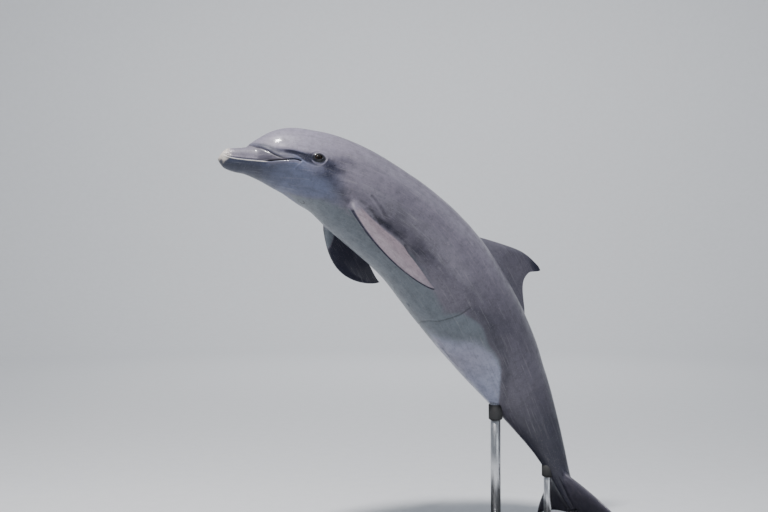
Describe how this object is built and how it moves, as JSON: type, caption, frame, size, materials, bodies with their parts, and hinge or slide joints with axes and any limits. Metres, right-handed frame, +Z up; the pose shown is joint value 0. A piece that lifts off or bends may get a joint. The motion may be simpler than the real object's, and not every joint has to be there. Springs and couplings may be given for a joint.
{
  "type": "bottlenose dolphin",
  "caption": "Life-size still model of a leaping bottlenose dolphin, arched with its beak forward and flukes low, held by rods on a flat display base.",
  "frame": {"origin": "centre of the underside of the stand's base, on the floor", "axes": "+Z up; the head points towards -X, the dorsal fin and flukes towards +X, and the left flank faces -Y"},
  "size_m": [1.5347, 0.6958, 1.6804],
  "materials": {
    "skin": "wet grey skin: dark warm grey back and fins, paler greenish-grey belly, cream-worn beak tips",
    "eye": "dark brown, clear and wet",
    "stand_paint": "satin black powder coat",
    "stand_steel": "satin brushed stainless steel"
  },
  "bodies": {
    "root": {"upper_jaw": "skin", "lower_jaw": "skin", "melon": "skin", "head": "skin", "neck": "skin", "chest": "skin", "trunk": "skin", "loin": "skin", "tail_stock_front": "skin", "tail_stock_rear": "skin", "fluke_left": "skin", "fluke_right": "skin", "dorsal_fin": "skin", "flipper_left": "skin", "flipper_right": "skin", "eye_left": "eye", "eye_right": "eye", "stand_base": "stand_paint", "stand_collar_front": "stand_paint", "stand_collar_rear": "stand_paint", "stand_rod_front": "stand_steel", "stand_rod_rear": "stand_steel"}
  },
  "joints": []
}
